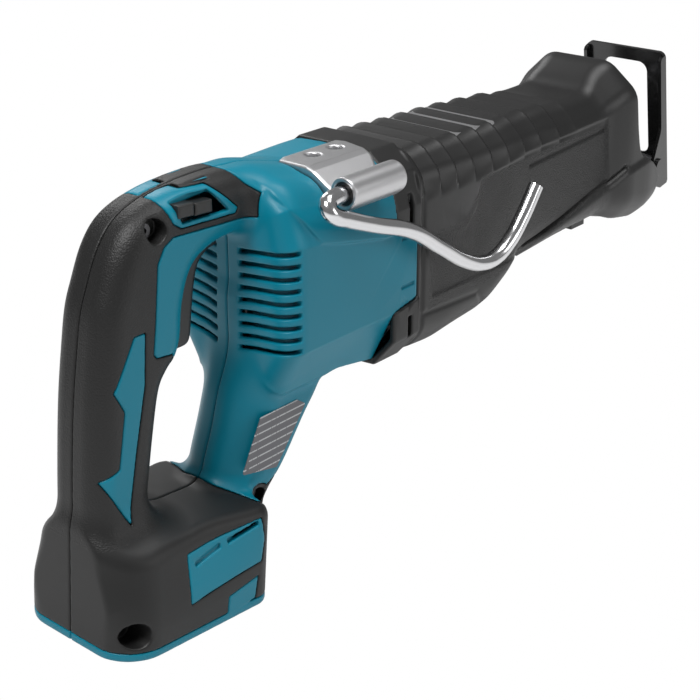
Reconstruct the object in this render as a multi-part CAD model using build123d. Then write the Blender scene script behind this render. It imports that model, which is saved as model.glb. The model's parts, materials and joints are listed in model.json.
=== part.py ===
from build123d import *
import math
import os

# A cordless reciprocating saw with a D-handle, without its battery.
# Millimetres. While it is laid out, X is measured forward from the rearmost
# point of the battery foot, Z up from the spindle axis, Y to the left.
# export() moves the origin to the mouth of the blade clamp on the spindle axis.

# ---------------------------------------------------------------- dimensions
MOUTH_X = 440.0           # blade clamp mouth, from the rear of the foot
STROKE = 32.0             # spindle stroke
RUN = 0.06                # radial running clearance of shafts in bushes
GAP = 0.3                 # clearance between parts that move past each other
FOOT_TILT = 5.0           # the battery foot leans nose-down by this angle

BODY_REAR_X = 106.0       # motor body of the housing
COLLAR_X = 198.0          # front of the housing
COLLAR_REAR_X = 180.0     # rear edge of the boot's collar round the housing
TONGUE_Z = (-38.0, 0.0)   # the housing shows through the collar on both sides
BODY_TOP_Z = 40.0
BODY_LOW_Z = -70.0
WALL = 3.0                # moulded wall
SKIN = 2.5                # rubber over-mould

GRIP_HALF_W = 17.0
STRUT_HALF_W = 22.0
FOOT_HALF_W = 38.0
FOOT_LEN = 92.0
FOOT_TOP_Z = -106.0
FOOT_LOW_Z = -150.0       # underside of the foot below X = 0
FOOT_CORNER_R = 21.0
RIM_H = 5.0               # teal band below the rubber of the foot
BAY_REAR = 24.0           # battery bay under the foot
BAY_DEPTH = 17.0
RAIL_HALF_W = 27.0

SCREW_SITES = [(48, 33), (12, -138), (101, -112)]
SCREW_HEAD_R = 3.4
SCREW_R = 1.6
BOSS_R = 5.4
VENT_ROWS = 7
VENT_TOP_Z = 4.0
VENT_PITCH = 6.2
LABEL_T = 0.4

MOTOR_Z = -28.0           # motor axis
STATOR_R = 26.0
STATOR_BORE_R = 13.5
STATOR_X = (124.0, 168.0)
SHAFT_R = 4.0
FAN_X = (173.0, 184.0)
FAN_R = 24.0
FAN_BLADES = 11
SLOT_HALF_W = 5.5
BEARING_R = 11.0
REAR_BEARING_X = (112.0, 119.0)
FRONT_BEARING_X = (191.0, 198.0)
PINION_X = (219.0, 226.0)

MODULE = 4.0 / 3.0        # pinion and crank gear
PINION_TEETH = 12
GEAR_TEETH = 36
PINION_R = MODULE * PINION_TEETH / 2
GEAR_R = MODULE * GEAR_TEETH / 2
TOOTH_ADDENDUM = 1.0
TOOTH_DEDENDUM = 1.5
FACE_W = 6.0

CRANK_X = 246.0           # vertical crank axis
GEAR_TOP_Z = -13.0
CRANK_SHAFT_R = 7.0
CRANK_BEARING_R = 13.0
CRANK_R = STROKE / 2
CRANK_PIN_R = 3.5
CRANK_FLOOR_Z = -60.0
COUNTERWEIGHT_Z = (-47.0, -39.0)
COUNTERWEIGHT_R = 21.5

SPINDLE_R = 8.0
SPINDLE_BUSH_R = 11.0
YOKE_HALF_W = 26.5
YOKE_LOW_Z = -6.0
YOKE_NECK = 10.0
YOKE_NECK_R = 9.5
CLAMP_R = 8.5
CLAMP_SLEEVE_X = (424.3, 434.3)
CLAMP_SLEEVE_R = 13.0
YOKE_REAR_X = CRANK_X - CRANK_R - 14.0
YOKE_LEN = 28.0
SPINDLE_X = (YOKE_REAR_X + YOKE_LEN, 424.0)
ROLLER_R = 5.5
ROLLER_TOP_Z = -SPINDLE_R - GAP

CHAMBER_WALL = 4.0
GEAR_BOX_X = (194.0, 283.0)
SNOUT_X = (283.0, 406.0)
SHELF_Z = (-34.0, -25.0)

BAR_Z = -31.0             # shoe carrying bar
BAR_HALF_W = 10.0
BAR_HALF_T = 3.0
BAR_X = (330.0, 457.0)
SHOE_PIVOT = (457.0, BAR_Z)
SHOE_TILT = 11.0          # the shoe leans back against the nose at rest
SHOE_HALF_W = 27.0
SHOE_T = 2.2
SHOE_PIN_R = 3.0

HOOK_Y = -46.0            # hook pivot axis
HOOK_Z = 35.0
HOOK_BARREL_X = (134.5, 171.0)
HOOK_BARREL_R = 7.5
HOOK_BUSH_R = 5.5
HOOK_WIRE_R = 4.0

HOOK_PLATE_X = (139.0, 184.0)
BRACKET_SCREW_X = (156.0, 172.0)
BRACKET_SCREW_Y = -9.0

TRIGGER_PIN = (79.0, 21.5)
TRIGGER_PIN_R = 2.0
TRIGGER_HALF_W = 8.0
SWITCH_X = (31.0, 48.0)
LOCK_X = 72.0             # lock-off button
LOCK_Z = 37.0
LOCK_HALF_L = 11.0
LOCK_HALF_H = 4.0


# ------------------------------------------------------------------- helpers
def block(x, y, z):
    """A box between the limits x, y and z, each a (low, high) pair."""
    size = [hi - lo for lo, hi in (x, y, z)]
    centre = [(hi + lo) / 2 for lo, hi in (x, y, z)]
    return Pos(*centre) * Box(*size)


def rod(axis, span, r, a=0.0, b=0.0):
    """A cylinder along axis over span, at (a, b) on the two other axes in X, Y, Z order."""
    mid = (span[0] + span[1]) / 2
    body = Cylinder(r, span[1] - span[0])
    if axis == "X":
        return Pos(mid, a, b) * Rot(0, 90, 0) * body
    if axis == "Y":
        return Pos(a, mid, b) * Rot(90, 0, 0) * body
    return Pos(a, b, mid) * body


def tube(axis, span, r_out, r_in, a=0.0, b=0.0):
    """A cylinder with a through bore."""
    return rod(axis, span, r_out, a, b) - rod(axis, (span[0] - 1, span[1] + 1), r_in, a, b)


def side_face(points, radii):
    """A closed face in the XZ plane with rounded corners."""
    flat = [(x, z) for x, z in points]
    with BuildSketch(Plane.XZ) as sketch:
        with BuildLine():
            FilletPolyline(*flat, radius=radii, close=True)
        make_face()
    return sketch.sketch


def slab(face, half_w):
    """The XZ face made solid from -half_w to +half_w along Y."""
    return extrude(face, amount=half_w, both=True)


def section_x(x, half_w, low, high, r):
    """A rounded rectangle across X, for lofts."""
    mid = (low + high) / 2
    return Plane((x, 0, mid), x_dir=(0, 1, 0), z_dir=(1, 0, 0)) * RectangleRounded(2 * half_w, high - low, r)


def right_half(shape):
    """The part of a shape on the right of the middle plane (Y below 0)."""
    return shape & block((-50, 600), (-120, 0), (-250, 150))


def left_half(shape):
    """The part of a shape on the left of the middle plane (Y above 0)."""
    return shape & block((-50, 600), (0, 120), (-250, 150))


def foot_frame(shape):
    """Leans a shape modelled upright under the handle by the tilt of the battery foot."""
    return Pos(0, 0, FOOT_LOW_Z) * Rot(0, FOOT_TILT, 0) * shape


def spring_wire(axis_plane, r, wire_r, length, pitch):
    """A round-wire compression spring standing on a plane."""
    path = axis_plane * Helix(pitch, length, r)
    start = path @ 0
    profile = Plane(origin=start, z_dir=path % 0) * Circle(wire_r)
    return sweep(profile, path=path, is_frenet=True)


def export(node, shape):
    """Writes one node, moved so that the blade clamp's mouth is the origin."""
    placed = Pos(-MOUTH_X, 0, 0) * shape
    placed.label = node
    export_step(placed, f"parts/{node}.step")


# ------------------------------------------------------- outer shapes, solid
def grip_solid(inset):
    """Handle column and its top arm, drawn in all round by inset."""
    outline = [
        (4, -128), (9.5, -64), (14.5, -22), (20.5, 4), (31, 29), (54, 44.8), (84, 48.4), (120, 43),
        (120, 18), (92, 18), (74, 14), (66, 0), (62, -22), (50, -54), (42, -90), (42, -128),
    ]
    radii = [3, 60, 60, 30, 26, 40, 40, 11, 11, 20, 12, 20, 20, 30, 40, 3]
    face = offset(side_face(outline, radii), amount=-inset, kind=Kind.INTERSECTION)
    shape = slab(face, GRIP_HALF_W - inset)
    return fillet(shape.faces().filter_by(Axis.Y).edges(), max(8.0 - inset, 4.0))


def foot_solid(inset):
    """Battery foot, drawn in by inset, with its underside left at full depth."""
    length = FOOT_LEN - inset
    half_w = FOOT_HALF_W - inset
    front_r = 10 - inset
    rear_r = FOOT_CORNER_R - inset
    with BuildSketch() as plan:
        with BuildLine():
            FilletPolyline(
                (inset, -half_w), (length, -half_w), (length, half_w), (inset, half_w),
                radius=[rear_r, front_r, front_r, rear_r], close=True,
            )
        make_face()
    solid = extrude(plan.sketch, amount=FOOT_TOP_Z - FOOT_LOW_Z - inset)
    return foot_frame(fillet(solid.faces().sort_by(Axis.Z)[-1].edges(), 9 - inset))


def foot_rim():
    """Band of the housing that shows below the rubber round the foot."""
    return foot_solid(0) & foot_frame(block((-20, 120), (-60, 60), (-1, RIM_H)))


def body_solid(inset, front):
    """Motor body, drawn in by inset, from its rear wall to the X of front."""
    right = [(20, BODY_TOP_Z), (36.5, 28), (42, 12), (38, 1), (38, -40), (21, BODY_LOW_Z)]
    points = right + [(-y, z) for y, z in reversed(right)]
    radii = [14, 10, 5, 3, 8, 10]
    with BuildSketch(Plane((0, 0, 0), x_dir=(0, 1, 0), z_dir=(1, 0, 0))) as sketch:
        with BuildLine():
            FilletPolyline(*points, radius=radii + radii[::-1], close=True)
        make_face()
    face = offset(sketch.sketch, amount=-inset, kind=Kind.INTERSECTION)
    rear = BODY_REAR_X + inset
    return Pos(rear, 0, 0) * extrude(face, amount=front - rear)


def strut_solid(inset):
    """Sloping strut between the motor body and the front of the foot."""
    outline = [
        (108, -20), (107, -39), (97, -60), (82, -104), (84, -128), (92, -128), (118, -103), (146, -66), (150, -20),
    ]
    radii = [4, 20, 60, 20, 2, 6, 40, 6, 4]
    face = offset(side_face(outline, radii), amount=-inset, kind=Kind.INTERSECTION)
    return slab(face, STRUT_HALF_W - inset)


# ------------------------------------------------------------ housing shells
def screw_lengths(z):
    """Y of the seat under the head, and of the tip, of the housing screw at height z."""
    return (-9.0, 9.0) if z > 0 else (-14.0, 12.0)


def screw_bosses():
    """Posts inside the halves that the housing screws pass through."""
    return [rod("Y", (-20, 20), BOSS_R, x, z) for x, z in SCREW_SITES]


def screw_holes():
    """Wells down to the screw heads from the right, and the holes below them."""
    holes = []
    for x, z in SCREW_SITES:
        seat, tip = screw_lengths(z)
        holes.append(rod("Y", (-60, seat), SCREW_HEAD_R + 0.2, x, z))
        holes.append(rod("Y", (seat - 1, tip), SCREW_R, x, z))
    return holes


def housing_screws():
    """Screws that draw the halves together, driven from the right."""
    screws = []
    for x, z in SCREW_SITES:
        seat, tip = screw_lengths(z)
        head = rod("Y", (seat - 2.4, seat), SCREW_HEAD_R, x, z)
        socket = rod("Y", (seat - 2.5, seat - 1.2), 1.5, x, z)
        screws.append(head - socket + rod("Y", (seat, tip), SCREW_R, x, z))
    return Compound(children=[screw.solid() for screw in screws])


def battery_bay():
    """Space under the foot that the battery slides into from the front, with its rail grooves."""
    throat = block((BAY_REAR, 130), (-RAIL_HALF_W, RAIL_HALF_W), (-9, BAY_DEPTH))
    grooves = block((BAY_REAR, 130), (-RAIL_HALF_W - 4, RAIL_HALF_W + 4), (8, 12))
    return foot_frame(throat + grooves)


def finger_space():
    """The space between grip, body, strut and foot, kept clear of every shell."""
    outline = [(44, -98), (51, -55), (62, -36), (86, 17.5), (105, 17.5), (106, -39), (96, -60), (81, -100)]
    return slab(side_face(outline, [3, 10, 10, 3, 3, 10, 20, 3]), 60)


def trigger_window():
    """Slot in the front of the handle for the trigger."""
    return block((50, 97), (-TRIGGER_HALF_W - GAP, TRIGGER_HALF_W + GAP), (-31, 30))


def lock_window():
    """Slot across the top arm for the lock-off button."""
    reach = LOCK_HALF_L + GAP
    return block((LOCK_X - reach, LOCK_X + reach), (-40, 40), (LOCK_Z - LOCK_HALF_H - GAP, LOCK_Z + LOCK_HALF_H + GAP))


def vent_slots():
    """Cooling slots through the rear of the motor body, on both sides of the seam."""
    slots = []
    for row in range(VENT_ROWS):
        z = VENT_TOP_Z - VENT_PITCH * row
        for side in (-1, 1):
            y = side * 20.0
            slots.append(block((BODY_REAR_X - 3, BODY_REAR_X + 6), (y - 15, y + 15), (z - 1.4, z + 1.4)))
    return slots


def bracket_section(low, high):
    """Profile across X between the hook bracket's lower line, less low, and a height of high."""
    lower = [(0, 34), (-20, 34), (-27, 29), (-60, 27)]
    points = [(y, z - low) for y, z in lower] + [(-60, high), (0, high)]
    return Plane((0, 0, 0), x_dir=(0, 1, 0), z_dir=(1, 0, 0)) * make_face(Polyline(*points, close=True))


def bracket_pad():
    """Solid ground inside the body wall, under the hook bracket."""
    band = Pos(HOOK_PLATE_X[0] - 4, 0, 0) * extrude(bracket_section(7, 60), amount=HOOK_PLATE_X[1] - HOOK_PLATE_X[0] + 8)
    return body_solid(0, COLLAR_X) & band


def bracket_seat():
    """Pocket in the body that the hook bracket lies in."""
    seat = Pos(HOOK_PLATE_X[0], 0, 0) * extrude(bracket_section(0, 60), amount=HOOK_PLATE_X[1] - HOOK_PLATE_X[0])
    return seat


def strut_pads():
    """Rubber strip let into the front edge of the strut."""
    outline = [(142, -74), (119, -103), (98, -126), (92, -126), (113, -103), (137, -74)]
    strip = slab(side_face(outline, [1, 30, 1, 1, 30, 1]), 60)
    return (strut_solid(0) & strip) - screw_holes()


def core_solid():
    """The housing's outer shape, under the rubber of the grip and the foot."""
    return body_solid(0, COLLAR_X) + strut_solid(0) + grip_solid(SKIN) + foot_solid(SKIN) + foot_rim()


def housing(core):
    """Both moulded halves of the housing, still in one piece."""
    bay_roof = foot_frame(block((-20, 130), (-60, 60), (BAY_DEPTH + WALL, 80)))
    hollow = body_solid(WALL, COLLAR_X + 1) + strut_solid(WALL) + grip_solid(SKIN + WALL)
    shell = core - hollow - (foot_solid(SKIN + WALL) & bay_roof)
    shell = shell + [boss & core for boss in screw_bosses()] + bracket_pad()
    shell = shell - battery_bay() - screw_holes() - vent_slots() - bracket_seat() - bracket_screw_holes()
    shell = shell - boot_collar() - chamber_solid(-GAP / 3, (GEAR_BOX_X[0] - 6, COLLAR_X + 1))
    return shell - finger_space() - trigger_window() - lock_window() - strut_pads() - trigger_pin()


def overmould(core):
    """Black rubber over the handle, top arm and foot, still in one piece."""
    skin = grip_solid(0) + foot_solid(0) - core - body_solid(0, COLLAR_X) - strut_solid(0) - foot_rim()
    skin = skin - battery_bay() - screw_holes() - finger_space() - trigger_window() - lock_window()
    return skin - grip_solid(SKIN) - foot_solid(SKIN)


def rating_label():
    """Blank label on the right of the strut."""
    outline = [(103, -71), (128, -71), (134, -75), (113, -101), (90, -96)]
    y = -STRUT_HALF_W
    return extrude(Pos(0, y, 0) * side_face(outline, [1, 1, 1, 1, 1]), amount=LABEL_T)


# ------------------------------------------------------------------ hook
def hook_bracket():
    """Cast bracket let into the top of the body, with the barrel that holds the hook."""
    plate = Pos(HOOK_PLATE_X[0], 0, 0) * extrude(
        bracket_section(0, 41) & Plane((0, 0, 0), x_dir=(0, 1, 0), z_dir=(1, 0, 0)) * make_face(
            Polyline((0, 20), (0, 41), (-21, 41), (-30, 34), (-40, 31), (-44, 31), (-44, 20), close=True)),
        amount=HOOK_PLATE_X[1] - HOOK_PLATE_X[0])
    front_cut = Polyline((184, 1), (184, -60), (160, -60), (182, -22), (184, -3), close=True)
    plate = plate - extrude(make_face(front_cut), amount=80)
    body = plate + rod("X", HOOK_BARREL_X, HOOK_BARREL_R, HOOK_Y, HOOK_Z)
    body = body - rod("X", (HOOK_BARREL_X[0] - 1, HOOK_BARREL_X[1] + 1), HOOK_BUSH_R, HOOK_Y, HOOK_Z)
    for x in BRACKET_SCREW_X:
        body = body - rod("Z", (35, 45), 3.5, x, BRACKET_SCREW_Y) - rod("Z", (25, 45), 1.5, x, BRACKET_SCREW_Y)
        body = body - Pos(x, BRACKET_SCREW_Y, 40.3) * Cone(3.2, 4.9, 1.7)
    return body


def bracket_screw_holes():
    """Pilot holes in the body under the bracket."""
    return [rod("Z", (28, 36), 1.5, x, BRACKET_SCREW_Y) for x in BRACKET_SCREW_X]


def bracket_screws():
    """Cap screws at the bottom of the bracket's two counterbores."""
    screws = []
    for x in BRACKET_SCREW_X:
        head = rod("Z", (35, 37.5), 3.2, x, BRACKET_SCREW_Y) - rod("Z", (36, 38), 1.5, x, BRACKET_SCREW_Y)
        screws.append((head + rod("Z", (28, 35), 1.5, x, BRACKET_SCREW_Y)).solid())
    return Compound(children=screws)


def hook_wire():
    """Bent steel wire: along the barrel, round behind it, then down and forward to an upturned end."""
    start = (HOOK_BARREL_X[1] - 1, HOOK_Y, HOOK_Z)
    side = HOOK_Y - 5
    corners = [(119, HOOK_Y, HOOK_Z), (124, side, 23), (190, side, 4), (247, side, -36), (282, side, 5)]
    path = FilletPolyline(start, *corners, radius=[5, 5.5, 60, 18])
    profile = Plane(origin=start, z_dir=path % 0) * Circle(HOOK_WIRE_R)
    return sweep(profile, path=path)


def hook_bush():
    """Friction bush between the barrel and the wire."""
    return tube("X", (HOOK_BARREL_X[0] + 1, HOOK_BARREL_X[1] - 3), HOOK_BUSH_R, HOOK_WIRE_R + RUN, HOOK_Y, HOOK_Z)


def hook_cap():
    """Small retaining cap at the front of the barrel."""
    disc = rod("X", (HOOK_BARREL_X[1] + GAP, HOOK_BARREL_X[1] + 2), 4.5, HOOK_Y, HOOK_Z)
    return disc + rod("X", (HOOK_BARREL_X[1] - 1, HOOK_BARREL_X[1] + 4), 2.6, HOOK_Y, HOOK_Z)


# ------------------------------------------------------------------ controls
def trigger():
    """Two-finger trigger that swings about a pin in the top arm."""
    outline = [(73, 27), (88, 26), (95, 14), (86, 11), (81, 5), (79, -8), (76, -25), (72, -28.5), (62, -28), (62, 6)]
    body = slab(side_face(outline, [4, 5, 3, 4, 4, 20, 3, 3, 2, 6]), TRIGGER_HALF_W)
    return body - rod("Y", (-20, 20), TRIGGER_PIN_R + RUN, *TRIGGER_PIN)


def trigger_pin():
    """Steel pin across the top arm."""
    return rod("Y", (-TRIGGER_HALF_W - 3.5, TRIGGER_HALF_W + 3.5), TRIGGER_PIN_R, *TRIGGER_PIN)


def trigger_spring():
    """Compression spring from the switch to the trigger."""
    length = 62 - SWITCH_X[1] - 0.8
    return spring_wire(Plane((SWITCH_X[1] + 0.4, 0, -16), x_dir=(0, 1, 0), z_dir=(1, 0, 0)), 3.2, 0.4, length, length / 5)


def switch_unit():
    """Switch in the handle behind the trigger, with its plunger."""
    body = block(SWITCH_X, (-9, 9), (-27, 10))
    return body + rod("X", (SWITCH_X[1], SWITCH_X[1] + 7), 2.2, 0, 2)


def lock_off_button():
    """Push-through button across the top arm, in two raised blocks each side."""
    body = block((LOCK_X - 5, LOCK_X + 5), (-15, 12), (LOCK_Z - 2.5, LOCK_Z + 2.5))
    pads = []
    for x in (LOCK_X - LOCK_HALF_L / 2 - 0.2, LOCK_X + LOCK_HALF_L / 2 + 0.2):
        half = LOCK_HALF_L / 2 - 0.2
        for y in ((-17.5, -13), (9, 12.5)):
            pads.append(block((x - half, x + half), y, (LOCK_Z - LOCK_HALF_H, LOCK_Z + LOCK_HALF_H)))
    return body + pads


# ------------------------------------------------------------------ electrics
def terminal_block():
    """Moulded holder under the roof of the battery bay."""
    base = block((BAY_REAR, 62), (-14, 14), (10, BAY_DEPTH))
    return foot_frame(base)


def terminal_blades():
    """Contact blades below the terminal holder, lengthwise for the battery's slots."""
    blades = [foot_frame(block((34, 60), (y - 0.4, y + 0.4), (2, 10))).solid() for y in (-10, -3, 10)]
    return Compound(children=blades)


def controller_tray():
    """Aluminium tray above the battery bay."""
    floor_z = BAY_DEPTH + WALL + 0.5
    tray = block((20, 78), (-24, 24), (floor_z, floor_z + 9)) - block((21.5, 76.5), (-22.5, 22.5), (floor_z + 2, 60))
    return foot_frame(tray)


def controller_board():
    """Circuit board with its potted switches and a capacitor, in the tray."""
    z = BAY_DEPTH + WALL + 3.0
    board = block((22, 76), (-22, 22), (z, z + 1.6))
    chips = [block((28 + 9 * i, 34 + 9 * i), (-14, -4), (z + 1.6, z + 4)) for i in range(5)]
    return foot_frame(board + chips + rod("Z", (z + 1.6, z + 9), 4, 66, 12))


# ------------------------------------------------------------------ motor
def motor_stator():
    """Laminated stator with six slots."""
    ring = tube("X", STATOR_X, STATOR_R, STATOR_BORE_R)
    slots = [Rot(60 * i, 0, 0) * block(STATOR_X, (-SLOT_HALF_W, SLOT_HALF_W), (15.5, 22.5)) for i in range(6)]
    mouths = [Rot(60 * i, 0, 0) * block(STATOR_X, (-1, 1), (12, 16)) for i in range(6)]
    return Pos(0, 0, MOTOR_Z) * (ring - slots - mouths)


def motor_windings():
    """Copper coils filling the stator slots, standing out at both ends."""
    span = (STATOR_X[0] - 3, STATOR_X[1] + 3)
    coils = [Rot(60 * i, 0, 0) * block(span, (0.15 - SLOT_HALF_W, SLOT_HALF_W - 0.15), (15.7, 22.3)) for i in range(6)]
    return Compound(children=[(Pos(0, 0, MOTOR_Z) * coil).solid() for coil in coils])


def rotor_core():
    """Magnet rotor on the motor shaft."""
    return tube("X", (STATOR_X[0] + 1, STATOR_X[1] - 1), STATOR_BORE_R - 0.5, SHAFT_R, 0, MOTOR_Z)


def motor_shaft():
    """Motor shaft from the rear bearing to the pinion."""
    return rod("X", (REAR_BEARING_X[0], PINION_X[1]), SHAFT_R, 0, MOTOR_Z)


def cooling_fan():
    """Radial fan between the motor and the gear housing."""
    hub = tube("X", FAN_X, 8, SHAFT_R)
    disc = tube("X", (FAN_X[1] - 1.5, FAN_X[1]), FAN_R, 7)
    blades = [
        Rot(360 / FAN_BLADES * i, 0, 0) * block((FAN_X[0], FAN_X[1] - 1.4), (-0.7, 0.7), (7, FAN_R))
        for i in range(FAN_BLADES)
    ]
    return Pos(0, 0, MOTOR_Z) * (hub + disc + blades)


def motor_bearing(span):
    """Ball bearing drawn as one ring with a groove on each face."""
    ring = tube("X", span, BEARING_R, SHAFT_R + RUN)
    grooves = [tube("X", (end - 0.6, end + 0.6), 8.6, 6.4) for end in span]
    return Pos(0, 0, MOTOR_Z) * (ring - grooves)


def bearing_carrier():
    """Web across the rear of the motor body that holds the rear bearing."""
    plate = block((REAR_BEARING_X[0] - 1, REAR_BEARING_X[1] - 1), (-37, 37), (MOTOR_Z - 24, MOTOR_Z + 42))
    return plate - rod("X", (100, 130), BEARING_R, 0, MOTOR_Z)


def bevel_pinion():
    """Toothed pinion at the front of the motor shaft."""
    root_r = PINION_R - TOOTH_DEDENDUM
    tip_r = PINION_R + TOOTH_ADDENDUM
    tooth = make_face(Polyline((-1.25, root_r - 0.5), (-0.38, tip_r), (0.38, tip_r), (1.25, root_r - 0.5), close=True))
    solid = extrude(Plane((0, 0, 0), x_dir=(0, 1, 0), z_dir=(1, 0, 0)) * tooth, amount=FACE_W)
    teeth = [Rot(360 / PINION_TEETH * i, 0, 0) * solid for i in range(PINION_TEETH)]
    blank = Pos(-PINION_X[0], 0, 0) * rod("X", PINION_X, root_r)
    return Pos(PINION_X[0], 0, MOTOR_Z) * (blank + teeth) - rod("X", (180, 240), SHAFT_R, 0, MOTOR_Z)


# ------------------------------------------------------------------ crank
def crank_gear():
    """Crown gear on the crank shaft, teeth downward, with the bore for the crank pin."""
    low_z = MOTOR_Z + PINION_R - TOOTH_ADDENDUM - 0.2
    root_z = MOTOR_Z + PINION_R + TOOTH_DEDENDUM
    outer_r = GEAR_R + FACE_W / 2
    ring = Pos(0, 0, (low_z + root_z) / 2) * (Cylinder(outer_r, root_z - low_z) - Cylinder(GEAR_R - FACE_W / 2, 20))
    pitch = 360 / GEAR_TEETH
    gaps = []
    for i in range(GEAR_TEETH):
        gap = make_face(Polyline((-1.75, low_z - 0.1), (-0.75, root_z), (0.75, root_z), (1.75, low_z - 0.1), close=True))
        prism = extrude(Plane((-GEAR_R - 4, 0, 0), x_dir=(0, 1, 0), z_dir=(1, 0, 0)) * gap, amount=8)
        gaps.append(Rot(0, 0, pitch * i) * prism)
    disc = Pos(0, 0, (root_z + GEAR_TOP_Z) / 2) * Cylinder(outer_r, GEAR_TOP_Z - root_z)
    gear = Pos(CRANK_X, 0, 0) * (disc + (ring - gaps))
    gear = gear - rod("Z", (-60, 0), CRANK_SHAFT_R, CRANK_X, 0)
    return gear - rod("Z", (-30, 0), CRANK_PIN_R, CRANK_X - CRANK_R, 0)


def crank_shaft():
    """Vertical shaft of the crank gear."""
    return rod("Z", (CRANK_FLOOR_Z, GEAR_TOP_Z), CRANK_SHAFT_R, CRANK_X, 0)


def crank_pin():
    """Eccentric pin pressed into the crank gear."""
    return rod("Z", (MOTOR_Z + PINION_R + TOOTH_DEDENDUM + 0.5, ROLLER_TOP_Z), CRANK_PIN_R, CRANK_X - CRANK_R, 0)


def crank_roller():
    """Needle roller on the crank pin, under the yoke's slot."""
    span = (GEAR_TOP_Z + 0.2, ROLLER_TOP_Z)
    return tube("Z", span, ROLLER_R, CRANK_PIN_R, CRANK_X - CRANK_R, 0)


def counterweight():
    """Half-disc on the crank shaft, opposite the pin."""
    disc = rod("Z", COUNTERWEIGHT_Z, COUNTERWEIGHT_R, CRANK_X, 0)
    half = disc & block((CRANK_X, CRANK_X + 40), (-40, 40), COUNTERWEIGHT_Z)
    hub = rod("Z", COUNTERWEIGHT_Z, CRANK_SHAFT_R + 4, CRANK_X, 0)
    return half + hub - rod("Z", (-70, 0), CRANK_SHAFT_R, CRANK_X, 0)


def crank_bearing(span):
    """Ball bearing of the crank shaft, drawn as one ring."""
    return tube("Z", span, CRANK_BEARING_R, CRANK_SHAFT_R + RUN, CRANK_X, 0)


# ------------------------------------------------------------------ spindle
def spindle():
    """Round spindle through the bushes."""
    return rod("X", SPINDLE_X, SPINDLE_R)


def spindle_yoke():
    """Slotted yoke that the crank roller drives, on the rear of the spindle."""
    plate = block((YOKE_REAR_X, SPINDLE_X[0]), (-YOKE_HALF_W, YOKE_HALF_W), (YOKE_LOW_Z, -YOKE_LOW_Z))
    half = ROLLER_R + 0.1
    slot = block((CRANK_X - CRANK_R - half, CRANK_X - CRANK_R + half), (-CRANK_R - half, CRANK_R + half), (-9, 9))
    neck = rod("X", (SPINDLE_X[0], SPINDLE_X[0] + YOKE_NECK), YOKE_NECK_R)
    return plate - slot + neck - rod("X", (SPINDLE_X[0], 300), SPINDLE_R)


def spindle_bush(span):
    """Sintered bush in the snout."""
    return tube("X", span, SPINDLE_BUSH_R, SPINDLE_R + RUN)


def blade_clamp():
    """Slotted clamp body on the front of the spindle."""
    body = rod("X", (SPINDLE_X[1], MOUTH_X), CLAMP_R)
    return body - block((SPINDLE_X[1] + 2, MOUTH_X + 1), (-0.8, 0.8), (-6.5, 6.5))


def clamp_sleeve():
    """Sleeve that turns on the clamp body, with its lever on the right."""
    ring = tube("X", CLAMP_SLEEVE_X, CLAMP_SLEEVE_R, CLAMP_R + RUN)
    lever = block((CLAMP_SLEEVE_X[0], CLAMP_SLEEVE_X[0] + 2.4), (-20, -CLAMP_SLEEVE_R + 1), (-3, 3))
    return ring + lever


def clamp_spring():
    """Coil spring in front of the clamp sleeve."""
    return spring_wire(Plane((CLAMP_SLEEVE_X[1] + 1.0, 0, 0), x_dir=(0, 1, 0), z_dir=(1, 0, 0)), CLAMP_R + 1.4, 0.4, 1.9, 0.95)


# ------------------------------------------------------------------ gear housing
def chamber_face(inset):
    """Cross-section of the gear chamber, drawn in by inset."""
    right = [(22, 33), (34.5, 14), (34.5, -42), (18, -66)]
    points = right + [(-y, z) for y, z in reversed(right)]
    face = Plane((0, 0, 0), x_dir=(0, 1, 0), z_dir=(1, 0, 0)) * make_face(Polyline(*points, close=True))
    return offset(face, amount=-inset, kind=Kind.INTERSECTION)


def chamber_solid(inset, span):
    """Gear chamber, drawn in across X by inset, over span."""
    return Pos(span[0], 0, 0) * extrude(chamber_face(inset), amount=span[1] - span[0])


def snout_solid():
    """Tapered snout of the gear housing round the spindle and the shoe bar."""
    return loft([section_x(SNOUT_X[0] - 4, 29, -44, 28, 12), section_x(SNOUT_X[1], 26, -42, 24, 12)])


def snout_hollow():
    """Space inside the snout between the two bush seats."""
    return loft([section_x(312, 24, -39, 23, 8), section_x(382, 22, -38, 20, 8)])


def cover_screw_sites():
    """Y and Z of the screws that hold the gear cover."""
    return [(y, z) for y in (-27, 27) for z in (8, -38)]


def gear_housing():
    """Cast housing of the crank and the spindle, open at the rear."""
    body = chamber_solid(0, GEAR_BOX_X) + snout_solid()
    body = body - chamber_solid(CHAMBER_WALL, (GEAR_BOX_X[0] - 1, GEAR_BOX_X[1] - 5))
    shelf = block((CRANK_X - 16, GEAR_BOX_X[1] - 4), (-40, 40), SHELF_Z)
    boss = rod("Z", (CRANK_FLOOR_Z - 3, CRANK_FLOOR_Z + 10), CRANK_BEARING_R + 3, CRANK_X, 0)
    posts = [rod("X", (GEAR_BOX_X[0], GEAR_BOX_X[0] + 12), 4.5, y, z) for y, z in cover_screw_sites()]
    body = body + [piece & chamber_solid(1, GEAR_BOX_X) for piece in [shelf, boss] + posts]
    body = body - rod("Z", (CRANK_FLOOR_Z, SHELF_Z[1] + 1), CRANK_BEARING_R, CRANK_X, 0)
    body = body - rod("X", (GEAR_BOX_X[1] - 8, SNOUT_X[1] + 1), SPINDLE_BUSH_R)
    body = body - snout_hollow()
    body = body - block((BAR_X[0] - 4, SNOUT_X[1] + 1), (-BAR_HALF_W - GAP, BAR_HALF_W + GAP),
                        (BAR_Z - BAR_HALF_T - GAP, BAR_Z + BAR_HALF_T + GAP))
    return body - [rod("X", (GEAR_BOX_X[0] - 1, GEAR_BOX_X[0] + 10), 1.6, y, z) for y, z in cover_screw_sites()]


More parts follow.
